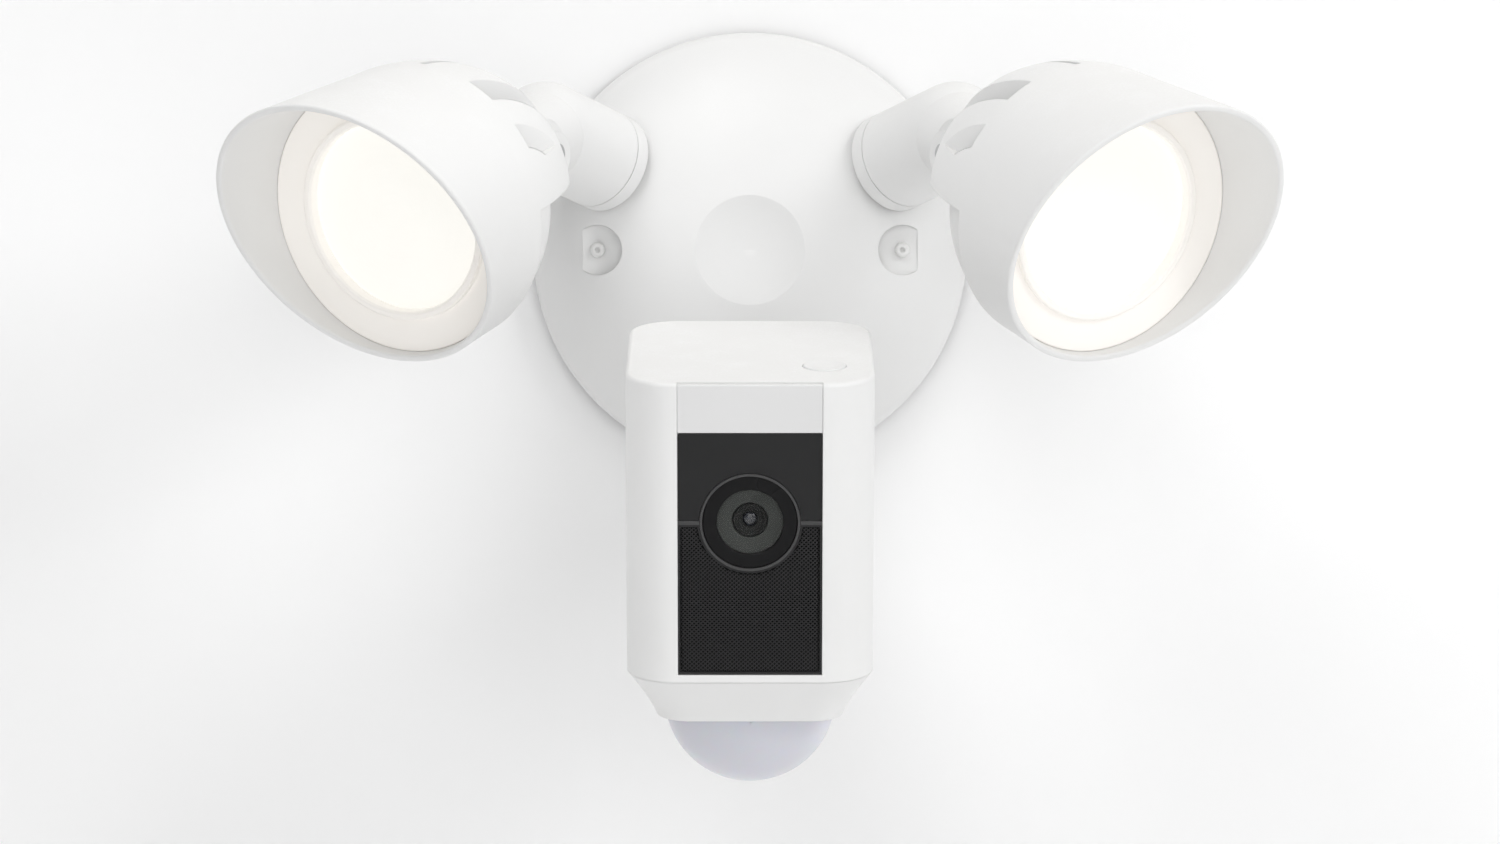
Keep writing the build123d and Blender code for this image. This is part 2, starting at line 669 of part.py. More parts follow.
def setup_button():
    cap = upright(BUTTON_R, 0.35, -4.0, BUTTON_X, BUTTON_Z)
    cap += upright(BUTTON_R + 1.2, -2.55, -4.0, BUTTON_X, BUTTON_Z)
    cap = fillet(circles(cap, BUTTON_R).sort_by(Axis.Y)[-1:], 0.5)
    dish_arc = 24.0
    return cap - Pos(BUTTON_X, dish_arc - 0.35, BUTTON_Z) * Sphere(dish_arc)


def button_switch():
    body = block(BUTTON_X - 3, BUTTON_X + 3, -8.6, -6.2, BUTTON_Z - 3, BUTTON_Z + 3)
    body += upright(1.6, -5.1, -6.2, BUTTON_X, BUTTON_Z)
    return body + block(BUTTON_X - 8, BUTTON_X + 8, -10, -8.6, BUTTON_Z - 6, BUTTON_Z + 6)


# ---------------------------------------------------------------- ball joint
def at_ball(shape):
    """Put a shape drawn about the ball's centre in the camera head's frame."""
    return Pos(0, BALL_LOCAL.Y, BALL_LOCAL.Z) * shape


SHELL_R = BALL_R + FIT + LINER_T
FRONT_GAP = -HEAD_D - BALL_LOCAL.Z


def ball_socket():
    cup = rod(SOCKET_R, 0.4, FRONT_GAP + 0.2)
    cup = cup - Sphere(SHELL_R + FIT) - rod(5, 0, 60)
    return at_ball(cup)


def ball_liner():
    cup = Sphere(SHELL_R) - Sphere(BALL_R + FIT)
    cup -= block(-30, 30, -30, 30, -30, -5.6)
    return at_ball(cup - rod(5, 0, 60))


def lock_ring():
    """Knurled ring that closes the ball in its socket."""
    ring = turned_points((LOCK_R - 1.4, -7.2), (LOCK_R, -5.8), (LOCK_R, 7.0), (SOCKET_R + FIT, 7.0),
                         (SOCKET_R + FIT, 0.2), (10, 0.2), (10, -7.2))
    ring -= Sphere(SHELL_R + FIT)
    for x, y in ring_places(LOCK_R + 0.6, 20):
        ring -= rod(1.5, -5, 8, x, y)
    return at_ball(ring)


# ---------------------------------------------------------------- the whole object
def build():
    for make in (wall_bracket, wall_gasket, base_housing, cable_grommet, mounting_screws,
                 power_board, terminal_block, siren, arm_seals):
        put(make.__name__, BASE_PLANE, make())
    put("base_back_plate", BASE_PLANE, back_plate())
    put("back_plate_screws", BASE_PLANE, plate_screws())
    put("camera_stem", STEM_PLANE, camera_stem())
    put_pair("arm", Plane.XY, arm())
    put_pair("arm_nut", ARM_PLANE, arm_nut())
    put_pair("pivot_bolt", PIVOT_PLANE, pivot_bolt())
    put_pair("lock_tab", PIVOT_PLANE, lock_tab())
    put_pair("light_housing", LIGHT_PLANE, light_housing())
    put_pair("bezel", LIGHT_PLANE, bezel())
    put_pair("diffuser", LIGHT_PLANE, diffuser())
    put_pair("light_seal", LIGHT_PLANE, light_seal())
    put_pair("led_board", LIGHT_PLANE, led_board())
    put_pair("leds", LIGHT_PLANE, leds())
    put_pair("reflector", LIGHT_PLANE, reflector())
    for make in (head_shell, rear_cover, rear_screws, chin_cover, dome_seal, motion_dome, motion_board,
                 motion_sensors, label_strip, upper_panel, divider_bar, speaker_grille, lens_ring,
                 lens_window, lens_shroud, lens_barrel, lens_glass, sensor_board, infrared_leds,
                 main_board, speaker_driver, setup_button, button_switch, ball_socket, ball_liner):
        put(make.__name__, HEAD_PLANE, make())
    put("ball_lock_ring", HEAD_PLANE, lock_ring())


build()
os.makedirs("parts", exist_ok=True)
for name, shape in parts.items():
    export_step(shape, "parts/" + name + ".step")
print(len(parts), "nodes")
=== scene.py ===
import json
import math

import bpy
import numpy as np
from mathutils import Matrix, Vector


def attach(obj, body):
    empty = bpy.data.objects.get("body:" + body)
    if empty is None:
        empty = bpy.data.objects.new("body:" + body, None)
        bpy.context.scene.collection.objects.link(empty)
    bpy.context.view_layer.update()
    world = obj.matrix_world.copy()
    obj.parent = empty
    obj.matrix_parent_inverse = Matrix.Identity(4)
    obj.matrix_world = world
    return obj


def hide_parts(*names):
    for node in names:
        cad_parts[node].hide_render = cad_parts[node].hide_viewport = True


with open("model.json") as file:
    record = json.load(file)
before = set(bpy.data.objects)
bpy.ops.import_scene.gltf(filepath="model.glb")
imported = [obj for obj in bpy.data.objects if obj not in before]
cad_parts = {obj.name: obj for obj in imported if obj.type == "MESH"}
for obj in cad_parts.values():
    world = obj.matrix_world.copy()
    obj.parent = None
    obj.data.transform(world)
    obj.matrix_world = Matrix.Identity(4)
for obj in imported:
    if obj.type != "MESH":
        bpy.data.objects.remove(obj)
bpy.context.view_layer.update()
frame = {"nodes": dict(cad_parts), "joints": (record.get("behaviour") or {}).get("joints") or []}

MM = 0.001

# ---------------------------------------------------------------- places, from the frame
JOINTS = {joint["name"]: joint for joint in frame["joints"]}
LIGHT_YAW = math.radians(31.0)       # each light head looks outwards by this much
LIGHT_DIP = math.radians(17.0)       # and downwards by this much
PIVOT_BACK = 66.0 * MM               # from a light's pivot forward to its lens plane
HEAD_DIP = math.radians(12.4)        # the camera head looks down by this much
HEAD_TOP_EDGE = np.array([0.0, -185.7, -36.6]) * MM     # middle of the face's top edge
LENS_DOWN = 39.4 * MM                # lens centre, down the head's face


def unit(vector):
    """A vector's direction."""
    vector = np.array(vector, dtype=float)
    return vector / np.linalg.norm(vector)


def frame_of(origin, across, out):
    """Origin and the x, y and z directions of a drawing frame, z pointing out."""
    across, out = unit(across), unit(out)
    return np.array(origin, dtype=float), np.stack([across, np.cross(out, across), out])


def placed(points, place):
    """Points drawn in a frame, moved to where the frame is."""
    origin, axes = place
    return np.asarray(points) @ axes + origin


def mirrored(points, faces):
    """Points reflected to the right-hand side, with faces still pointing outwards."""
    return points * np.array([-1.0, 1.0, 1.0]), [tuple(face)[::-1] for face in faces]


HEAD = frame_of(HEAD_TOP_EDGE, (1, 0, 0), (0, -math.cos(HEAD_DIP), -math.sin(HEAD_DIP)))
LENS = frame_of(placed([0, -LENS_DOWN, 0], HEAD), HEAD[1][0], HEAD[1][2])
BEAM = np.array([-math.sin(LIGHT_YAW) * math.cos(LIGHT_DIP),
                 -math.cos(LIGHT_YAW) * math.cos(LIGHT_DIP), -math.sin(LIGHT_DIP)])
LIGHT_ACROSS = np.array([math.cos(LIGHT_YAW), -math.sin(LIGHT_YAW), 0.0])
LIGHT_PIVOT = np.array(JOINTS["left_light_tilt"]["pos_m"])
LIGHT = frame_of(LIGHT_PIVOT + BEAM * PIVOT_BACK, LIGHT_ACROSS, BEAM)


# ---------------------------------------------------------------- mesh building
def make_piece(name, points, faces, body, material, sharp=35.0):
    """Turns points (metres) and faces into a smooth-shaded piece that rides on a body."""
    mesh = bpy.data.meshes.new(name)
    mesh.from_pydata(np.asarray(points, dtype=float).tolist(), [],
                     [tuple(map(int, face)) for face in faces])
    mesh.validate()
    mesh.materials.append(material)
    mesh.polygons.foreach_set("use_smooth", np.ones(len(mesh.polygons), dtype=bool))
    mesh.set_sharp_from_angle(angle=math.radians(sharp))
    piece = bpy.data.objects.new(name, mesh)
    bpy.context.scene.collection.objects.link(piece)
    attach(piece, body)
    return piece


def grid_faces(rows, columns, close_rows=False, close_columns=False):
    """Quads of a grid of points, numbered row by row, closed round either way."""
    row = np.arange(rows if close_rows else rows - 1)
    column = np.arange(columns if close_columns else columns - 1)
    row, column = np.meshgrid(row, column, indexing="ij")
    next_row, next_column = (row + 1) % rows, (column + 1) % columns
    corners = (row * columns + column, next_row * columns + column,
               next_row * columns + next_column, row * columns + next_column)
    return np.stack(corners, axis=-1).reshape(-1, 4)


def turned(profile, steps):
    """A closed profile of (radius, height) pairs carried round the z axis.
    Point = (radius cos a, radius sin a, height), for equal steps of a over the full turn."""
    profile = np.asarray(profile, dtype=float)
    angle = np.linspace(0, 2 * math.pi, steps, endpoint=False)[:, None]
    points = np.stack([profile[:, 0] * np.cos(angle), profile[:, 0] * np.sin(angle),
                       np.broadcast_to(profile[:, 1], (steps, len(profile)))], axis=-1)
    return points.reshape(-1, 3), grid_faces(steps, len(profile), True, True)


def capped(profile, steps):
    """An open profile carried round the z axis, with flat lids where it starts and ends."""
    points, _ = turned(profile, steps)
    first = np.arange(steps) * len(profile)
    sides = [tuple(face) for face in grid_faces(steps, len(profile), True, False)]
    return points, sides + [tuple(first[::-1]), tuple(first + len(profile) - 1)]


# ---------------------------------------------------------------- shared shader groups
def new_group(name, inputs, outputs):
    """An empty shader group with named value inputs and typed outputs."""
    group = bpy.data.node_groups.new(name, "ShaderNodeTree")
    for label, value in inputs:
        socket = group.interface.new_socket(label, in_out="INPUT", socket_type="NodeSocketFloat")
        socket.default_value = value
    for label, kind in outputs:
        group.interface.new_socket(label, in_out="OUTPUT", socket_type=kind)
    return group, group.nodes.new("NodeGroupInput"), group.nodes.new("NodeGroupOutput")


def noise(nodes, links, coordinate, scale, detail=3.0, roughness=0.55):
    """Noise on a coordinate; its scale is a number or a socket."""
    node = nodes.new("ShaderNodeTexNoise")
    node.inputs["Detail"].default_value = detail
    node.inputs["Roughness"].default_value = roughness
    links.new(coordinate, node.inputs["Vector"])
    if isinstance(scale, (int, float)):
        node.inputs["Scale"].default_value = scale
    else:
        links.new(scale, node.inputs["Scale"])
    return node.outputs["Fac"]


def maths(nodes, links, operation, a, b=None, clamp=False):
    """One Math node; its operands are numbers or sockets."""
    node = nodes.new("ShaderNodeMath")
    node.operation = operation
    node.use_clamp = clamp
    for socket, operand in zip(node.inputs, (a, b)):
        if operand is None:
            continue
        if isinstance(operand, (int, float)):
            socket.default_value = operand
        else:
            links.new(operand, socket)
    return node.outputs[0]


def grain_group():
    """Moulded grain: broad orange peel plus a fine sparkle, as a height."""
    group, given, result = new_group(
        "moulded_grain", [("Peel Scale", 300.0), ("Grain Scale", 2200.0), ("Grain Share", 0.5)],
        [("Height", "NodeSocketFloat")])
    nodes, links = group.nodes, group.links
    place = nodes.new("ShaderNodeTexCoord").outputs["Object"]
    peel = noise(nodes, links, place, given.outputs["Peel Scale"], 2.0)
    fine = noise(nodes, links, place, given.outputs["Grain Scale"], 3.0)
    share = maths(nodes, links, "MULTIPLY", fine, given.outputs["Grain Share"])
    links.new(maths(nodes, links, "ADD", peel, share), result.inputs["Height"])
    return group


SPECK_SCALE = 1500.0
DUST_CONTRAST = 4.0
DUST_COLOUR = (0.62, 0.60, 0.56)
DUST_ROUGHENS = 0.5
EDGE_GAIN = 6.0                      # how strongly a bent normal shows as wear
WEAR_PATCHES = 420.0


def dust_group():
    """Dust that settles on faces that look up, broken by noise, as a mask."""
    group, given, result = new_group("settled_dust", [("Amount", 0.3), ("Patch Scale", 60.0)],
                                     [("Mask", "NodeSocketFloat")])
    nodes, links = group.nodes, group.links
    place = nodes.new("ShaderNodeTexCoord").outputs["Object"]
    split = nodes.new("ShaderNodeSeparateXYZ")
    links.new(nodes.new("ShaderNodeNewGeometry").outputs["Normal"], split.inputs[0])
    upward = maths(nodes, links, "MAXIMUM", split.outputs["Z"], 0.0)
    upward = maths(nodes, links, "POWER", upward, 2.0)
    patches = noise(nodes, links, place, given.outputs["Patch Scale"], 5.0, 0.6)
    specks = noise(nodes, links, place, SPECK_SCALE, 2.0)
    broken = maths(nodes, links, "MULTIPLY", patches, specks)
    broken = maths(nodes, links, "MULTIPLY", broken, DUST_CONTRAST, clamp=True)
    mask = maths(nodes, links, "MULTIPLY", upward, broken)
    mask = maths(nodes, links, "MULTIPLY", mask, given.outputs["Amount"])
    links.new(mask, result.inputs["Mask"])
    return group


def wear_group():
    """Edges worn soft: how far a rounded normal leaves the true one, broken by noise."""
    group, given, result = new_group(
        "edge_wear", [("Width", 0.5 * MM), ("Amount", 0.5)],
        [("Mask", "NodeSocketFloat"), ("Soft Normal", "NodeSocketVector")])
    nodes, links = group.nodes, group.links
    bevel = nodes.new("ShaderNodeBevel")
    bevel.samples = 4
    links.new(given.outputs["Width"], bevel.inputs["Radius"])
    dot = nodes.new("ShaderNodeVectorMath")
    dot.operation = "DOT_PRODUCT"
    links.new(bevel.outputs[0], dot.inputs[0])
    links.new(nodes.new("ShaderNodeNewGeometry").outputs["Normal"], dot.inputs[1])
    bend = maths(nodes, links, "SUBTRACT", 1.0, dot.outputs["Value"])
    bend = maths(nodes, links, "MULTIPLY", bend, EDGE_GAIN, clamp=True)
    place = nodes.new("ShaderNodeTexCoord").outputs["Object"]
    patches = noise(nodes, links, place, WEAR_PATCHES, 4.0)
    mask = maths(nodes, links, "MULTIPLY", bend, patches)
    mask = maths(nodes, links, "MULTIPLY", mask, given.outputs["Amount"])
    links.new(mask, result.inputs["Mask"])
    links.new(bevel.outputs[0], result.inputs["Soft Normal"])
    return group


def tone_group():
    """Slow drift of a finish across a moulding, centred on one half."""
    group, given, result = new_group("finish_drift", [("Scale", 18.0)],
                                     [("Value", "NodeSocketFloat")])
    nodes, links = group.nodes, group.links
    place = nodes.new("ShaderNodeTexCoord").outputs["Object"]
    links.new(noise(nodes, links, place, given.outputs["Scale"], 3.0), result.inputs["Value"])
    return group


GRAIN, DUST, WEAR, DRIFT = grain_group(), dust_group(), wear_group(), tone_group()


# ---------------------------------------------------------------- materials
def use_group(tree, group, **values):
    """Places a shared group in a material with its own values."""
    node = tree.nodes.new("ShaderNodeGroup")
    node.node_tree = group
    for label, value in values.items():
        node.inputs[label.replace("_", " ")].default_value = value
    return node


def mix_colour(tree, factor, a, b):
    """Mixes two colours by a factor; each is a tuple or a socket."""
    node = tree.nodes.new("ShaderNodeMix")
    node.data_type = "RGBA"
    for socket, value in ((node.inputs[0], factor), (node.inputs[6], a), (node.inputs[7], b)):
        if hasattr(value, "is_output"):
            tree.links.new(value, socket)
        else:
            socket.default_value = value if isinstance(value, float) else (*value, 1.0)
    return node.outputs[2]


def finish(name, colour, roughness, second=None, rough_drift=0.08, peel=300.0, grain=2200.0,
           share=0.5, bump=0.05, depth=0.05, wear=0.4, wear_colour=None, wear_width=0.5, dust=0.25,
           **shader):
    """A moulded, coated or metal finish: colour drift, worn edges, dust and grain.
    Widths and depths are in millimetres; what is left over goes to the shader's own sockets."""
    material = bpy.data.materials.new(name)
    material.use_nodes = True
    tree = material.node_tree
    links = tree.links
    principled = tree.nodes["Principled BSDF"]
    for label, value in shader.items():
        principled.inputs[label.replace("_", " ")].default_value = value
    drift = use_group(tree, DRIFT).outputs["Value"]
    edges = use_group(tree, WEAR, Width=wear_width * MM, Amount=wear)
    settled = use_group(tree, DUST, Amount=dust).outputs["Mask"]
    second = second or tuple(0.95 * c for c in colour)
    wear_colour = wear_colour or tuple(min(1.0, c * 1.06 + 0.015) for c in colour)
    tint = mix_colour(tree, drift, colour, second)
    tint = mix_colour(tree, edges.outputs["Mask"], tint, wear_colour)
    tint = mix_colour(tree, settled, tint, DUST_COLOUR)
    links.new(tint, principled.inputs["Base Color"])
    rough = maths(tree.nodes, links, "MULTIPLY", drift, 2 * rough_drift)
    rough = maths(tree.nodes, links, "ADD", rough, roughness - rough_drift)
    powder = maths(tree.nodes, links, "MULTIPLY", settled, DUST_ROUGHENS)
    rough = maths(tree.nodes, links, "ADD", rough, powder, clamp=True)
    links.new(rough, principled.inputs["Roughness"])
    height = use_group(tree, GRAIN, Peel_Scale=peel, Grain_Scale=grain, Grain_Share=share)
    bumps = tree.nodes.new("ShaderNodeBump")
    bumps.inputs["Strength"].default_value = bump
    bumps.inputs["Distance"].default_value = depth * MM
    links.new(height.outputs["Height"], bumps.inputs["Height"])
    links.new(edges.outputs["Soft Normal"], bumps.inputs["Normal"])
    links.new(bumps.outputs["Normal"], principled.inputs["Normal"])
    return material


DIFFUSER_GLOW = 0.62
WHITE = (0.86, 0.86, 0.855)
COAT_WHITE = (0.87, 0.87, 0.865)


def glowing_diffuser():
    """Opal cover lit from behind: a warm glow whose colour drifts a little."""
    material = finish("opal_diffuser_lit", (0.50, 0.495, 0.475), 0.40, dust=0.0, wear=0.0,
                      bump=0.04)
    tree = material.node_tree
    principled = tree.nodes["Principled BSDF"]
    drift = use_group(tree, DRIFT, Scale=40.0).outputs["Value"]
    glow = mix_colour(tree, drift, (1.0, 0.99, 0.94), (1.0, 0.97, 0.91))
    tree.links.new(glow, principled.inputs["Emission Color"])
    principled.inputs["Emission Strength"].default_value = DIFFUSER_GLOW
    return material


MATERIALS = {
    "moulded_white": finish(
        "moulded_white", WHITE, 0.42, bump=0.06, Coat_Weight=0.08, Coat_Roughness=0.3),
    "coated_white": finish("coated_white", COAT_WHITE, 0.48, peel=420.0, bump=0.10, depth=0.06),
    "stem_white": finish(
        "stem_white", WHITE, 0.36, bump=0.04, Coat_Weight=0.15, Coat_Roughness=0.2),
    # The label strip is a white panel; its grey here is painted shade, darker than the white
    # around it.
    "strip_white_painted_shade": finish("strip_white_painted_shade", (0.765, 0.765, 0.765), 0.38, bump=0.05, wear_width=0.3),
    "button_white": finish("button_white", (0.84, 0.84, 0.84), 0.40, bump=0.05, wear_width=0.3),
    "panel_black": finish(
        "panel_black", (0.011, 0.011, 0.0115), 0.50, second=(0.009, 0.009, 0.0095), bump=0.12,
        grain=3000.0, dust=0.05, wear_width=0.25, wear_colour=(0.03, 0.03, 0.03),
        Specular_IOR_Level=0.3),
    "grille_black": finish(
        "grille_black", (0.021, 0.021, 0.022), 0.52, second=(0.016, 0.016, 0.017), bump=0.10,
        dust=0.05, wear_width=0.15, wear_colour=(0.04, 0.04, 0.04), Specular_IOR_Level=0.3),
    "felt_black": finish(
        "felt_black", (0.004, 0.004, 0.004), 0.95, bump=0.5, depth=0.1, grain=5000.0, dust=0.0,
        wear=0.0, Specular_IOR_Level=0.1),
    "trim_grey": finish(
        "trim_grey", (0.040, 0.040, 0.041), 0.38, bump=0.04, dust=0.05, wear_width=0.2,
        wear_colour=(0.09, 0.09, 0.09)),
    "mask_black": finish(
        "mask_black", (0.005, 0.005, 0.0055), 0.28, bump=0.01, dust=0.02, wear=0.0,
        rough_drift=0.03, Specular_IOR_Level=0.16),
    "shroud_grey": finish(
        "shroud_grey", (0.060, 0.065, 0.060), 0.60, bump=0.08, dust=0.0, wear=0.2,
        wear_colour=(0.08, 0.085, 0.08), Specular_IOR_Level=0.3),
    "barrel_black": finish(
        "barrel_black", (0.011, 0.012, 0.011), 0.45, bump=0.05, dust=0.0, wear=0.3,
        wear_colour=(0.06, 0.065, 0.06), wear_width=0.2, Specular_IOR_Level=0.25),
    "seal_pale": finish(
        "seal_pale", (0.80, 0.80, 0.79), 0.70, bump=0.15, grain=3500.0, dust=0.1, wear=0.1),
    "seal_rubber": finish(
        "seal_rubber", (0.030, 0.030, 0.031), 0.75, bump=0.25, grain=3500.0, dust=0.3, wear=0.2),
    "gasket_foam": finish(
        "gasket_foam", (0.045, 0.045, 0.047), 0.92, bump=0.8, depth=0.15, grain=4200.0,
        share=1.0, dust=0.2, wear=0.1),
    # The bezel's warm off-white is its own colour; its emission is a painted glow, since the bezel
    # is no lamp.
    "bezel_painted_glow": finish(
        "bezel_painted_glow", (0.88, 0.86, 0.83), 0.40, bump=0.05, dust=0.05, Emission_Strength=0.19,
        Emission_Color=(1.0, 0.94, 0.87, 1.0)),
    "reflector_silver": finish(
        "reflector_silver", (0.85, 0.85, 0.86), 0.16, dust=0.0, wear=0.1, Metallic=1.0),
    "chip_yellow": finish("chip_yellow", (0.80, 0.62, 0.12), 0.35, dust=0.0, wear=0.1),
    "mask_white": finish("mask_white", (0.78, 0.78, 0.76), 0.40, dust=0.0, wear=0.1),
    "board_green": finish(
        "board_green", (0.02, 0.11, 0.05), 0.32, dust=0.05, wear=0.3,
        wear_colour=(0.35, 0.30, 0.12)),
    "plated_steel": finish(
        "plated_steel", (0.56, 0.56, 0.57), 0.34, rough_drift=0.12, bump=0.06, dust=0.15,
        Metallic=1.0),
    "screw_white": finish(
        "screw_white", (0.84, 0.84, 0.83), 0.35, bump=0.05, wear=0.5,
        wear_colour=(0.70, 0.70, 0.69)),
    "inner_black": finish("inner_black", (0.025, 0.025, 0.026), 0.55, dust=0.1),
    "inner_grey": finish("inner_grey", (0.33, 0.33, 0.34), 0.55, dust=0.2),
    "nylon": finish("nylon", (0.62, 0.61, 0.57), 0.45, dust=0.05, Subsurface_Weight=0.1),
    "dome_translucent": finish(
        "dome_translucent", (0.685, 0.68, 0.745), 0.30, bump=0.03, dust=0.08, wear=0.1,
        Subsurface_Weight=0.35, Subsurface_Scale=0.004, Coat_Weight=0.3, Coat_Roughness=0.12),
    "lens_glass": finish(
        "lens_glass", (0.020, 0.022, 0.030), 0.06, second=(0.030, 0.034, 0.042),
        rough_drift=0.02, bump=0.0, dust=0.0, wear=0.0, IOR=1.6, Coat_Weight=1.0,
        Coat_Roughness=0.02),
    "window_glass": finish(
        "window_glass", (0.02, 0.02, 0.02), 0.05, rough_drift=0.02, bump=0.0, dust=0.0,
        wear=0.0, IOR=1.4, Alpha=0.09),
    "opal_diffuser_lit": glowing_diffuser(),
}

NODE_FINISH = {
    "moulded_white": ["base_housing", "head_shell", "rear_cover", "chin_cover", "ball_socket",
                      "ball_lock_ring"],
    "coated_white": ["left_light_housing", "right_light_housing", "left_arm", "right_arm",
                     "left_lock_tab", "right_lock_tab"],
    "stem_white": ["camera_stem"],
    "strip_white_painted_shade": ["label_strip"],
    "button_white": ["setup_button"],
    "panel_black": ["upper_panel", "speaker_grille"],
    "trim_grey": ["divider_bar", "lens_ring"],
    "mask_black": ["lens_window"],
    "shroud_grey": ["lens_shroud"],
    "barrel_black": ["lens_barrel"],
    "lens_glass": ["lens_glass"],
    "dome_translucent": ["motion_dome"],
    "seal_pale": ["arm_seals"],
    "seal_rubber": ["dome_seal", "cable_grommet", "left_light_seal", "right_light_seal"],
    "gasket_foam": ["wall_gasket"],
    "bezel_painted_glow": ["left_bezel", "right_bezel"],
    "opal_diffuser_lit": ["left_diffuser", "right_diffuser"],
    "reflector_silver": ["left_reflector", "right_reflector"],
    "chip_yellow": ["left_leds", "right_leds"],
    "mask_white": ["left_led_board", "right_led_board"],
    "board_green": ["power_board", "main_board", "sensor_board", "motion_board"],
    "plated_steel": ["wall_bracket", "back_plate_screws", "rear_screws", "left_pivot_bolt",
                     "right_pivot_bolt", "left_arm_nut", "right_arm_nut", "motion_sensors"],
    "screw_white": ["mounting_screws"],
    "inner_black": ["siren", "speaker_driver", "button_switch", "terminal_block", "infrared_leds"],
    "inner_grey": ["base_back_plate"],
    "nylon": ["ball_liner"],
}


def dress_nodes():
    """Gives every CAD node its finish."""
    for finish_name, nodes in NODE_FINISH.items():
        for node in nodes:
            for slot in frame["nodes"][node].material_slots:
                slot.material = MATERIALS[finish_name]


# ---------------------------------------------------------------- speaker grille
GRILLE_WIDE = 39.8 * MM
GRILLE_TOP = -40.13 * MM             # heights are up the face from the head's top edge
GRILLE_BOTTOM = -83.2 * MM
GRILLE_FACE = -0.1 * MM              # the rim's face, just behind the head's face
GRILLE_THICK = 1.3 * MM
GRILLE_RIM = 0.55 * MM
SCREEN_SUNK = 0.12 * MM              # the screen's face, behind the rim's
RING_CUT = 14.0 * MM                 # radius of the bite round the lens ring
HOLE_PITCH = np.array([1.24, 1.17]) * MM
HOLE_R = 0.33 * MM
HOLE_DEEP = 0.35 * MM
HOLE_SIDES = 8
FELT_INSET = 0.6 * MM
FELT_DEPTHS = (-1.4 * MM, -0.9 * MM)


def grille_outline(inset, steps=48):
    """Rectangle with the lens ring's arc bitten out of its top edge, shrunk by an inset."""
    half, low, high = GRILLE_WIDE / 2 - inset, GRILLE_BOTTOM + inset, GRILLE_TOP - inset
    cut = RING_CUT + inset
    start = math.asin((high + LENS_DOWN) / cut)
    angle = np.linspace(start, -math.pi - start, steps)
    arc = np.stack([cut * np.cos(angle), -LENS_DOWN + cut * np.sin(angle)], axis=-1)
    corners = np.array([[-half, high], [-half, low], [half, low], [half, high]])
    return np.concatenate([arc, corners])


def grille_frame():
    """Solid rim of the grille: its outline, inset outline and depth as four rings of points."""
    outer, inner = grille_outline(0.0), grille_outline(GRILLE_RIM)
    back = GRILLE_FACE - GRILLE_THICK
    levels = [(outer, back), (outer, GRILLE_FACE), (inner, GRILLE_FACE), (inner, back)]
    rings = [np.column_stack([ring, np.full(len(ring), height)]) for ring, height in levels]
    points = np.stack(rings, axis=1)
    return points.reshape(-1, 3), grid_faces(len(outer), len(rings), True, True)


def grille_screen():
    """Perforated sheet. Holes lie on a lattice of diamonds; each diamond is eight quads
    between its outline and an eight-sided hole, eight more down the hole's wall, and eight
    on its back."""
    half = HOLE_PITCH / 2
    reach = int((GRILLE_WIDE / 2) // half[0]) + 1
    deep = int((GRILLE_TOP - GRILLE_BOTTOM) // half[1]) + 2
    column, row = np.meshgrid(np.arange(-reach, reach + 1), np.arange(0, deep), indexing="ij")
    keep = (column + row) % 2 == 0
    centre = np.stack([column[keep] * half[0], GRILLE_BOTTOM + row[keep] * half[1]], axis=-1)
    margin = GRILLE_RIM * 0.3
    across, up = centre.T
    inside = ((np.abs(across) < GRILLE_WIDE / 2 - margin - half[0])
              & (up > GRILLE_BOTTOM + margin + half[1]) & (up < GRILLE_TOP - margin - half[1])
              & (np.hypot(across, up + LENS_DOWN) > RING_CUT + margin + half[0]))
    centre = centre[inside]
    corner = np.arange(HOLE_SIDES)
    angle = corner * math.pi / 4
    circle = np.stack([np.cos(angle), np.sin(angle)], axis=-1)
    diamond = circle * half * np.where(corner % 2 == 0, 1.0, math.sqrt(0.5))[:, None]
    rings = [(diamond, 0.0), (circle * HOLE_R, 0.0), (circle * HOLE_R, -HOLE_DEEP),
             (diamond, -HOLE_DEEP)]
    face = GRILLE_FACE - SCREEN_SUNK
    cells = np.stack([np.column_stack([ring, np.full(HOLE_SIDES, face + height)])
                      for ring, height in rings], axis=1)
    centre = np.concatenate([centre, np.zeros((len(centre), 1))], axis=1)
    points = centre[:, None, None, :] + cells[None]
    first = np.arange(len(centre)) * HOLE_SIDES * len(rings)
    faces = grid_faces(HOLE_SIDES, len(rings), True, False)[None] + first[:, None, None]
    return points.reshape(-1, 3), faces.reshape(-1, 4)


def prism(outline, low, high):
    """Closed plate of an outline (x, y), between two heights."""
    count = len(outline)
    points = np.concatenate([np.column_stack([outline, np.full(count, height)])
                             for height in (low, high)])
    walls = grid_faces(2, count, False, True)[:, ::-1]
    caps = [tuple(range(count))[::-1], tuple(range(count, 2 * count))]
    return points, [tuple(face) for face in walls] + caps


def make_grille():
    """Rim, perforated screen and the felt behind it, in place of the plain grille."""
    felt = prism(grille_outline(FELT_INSET), *FELT_DEPTHS)
    for name, shape, material in (("grille_frame", grille_frame(), "grille_black"),
                                  ("grille_screen", grille_screen(), "grille_black"),
                                  ("grille_felt", felt, "felt_black")):
        points, faces = shape
        part = make_piece(name, placed(points, HEAD), faces, "camera_head", MATERIALS[material])
        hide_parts("speaker_grille")


# ---------------------------------------------------------------- lens
def ridged_cone(outer, inner, start, end, ridges, lift):
    """Profile points of a shallow cone whose surface carries fine round ridges.
    Radius and depth go evenly from one end to the other; the ridges add lift * sin^2."""
    share = np.linspace(0, 1, ridges * 6 + 1)
    lifted = lift * np.sin(math.pi * ridges * share) ** 2
    return np.column_stack([outer + (inner - outer) * share,
                            start + (end - start) * share + lifted])


LENS_STEPS = 128                     # steps round the window and the shroud
NOSE_STEPS = 96
BEAD_STEPS = 64

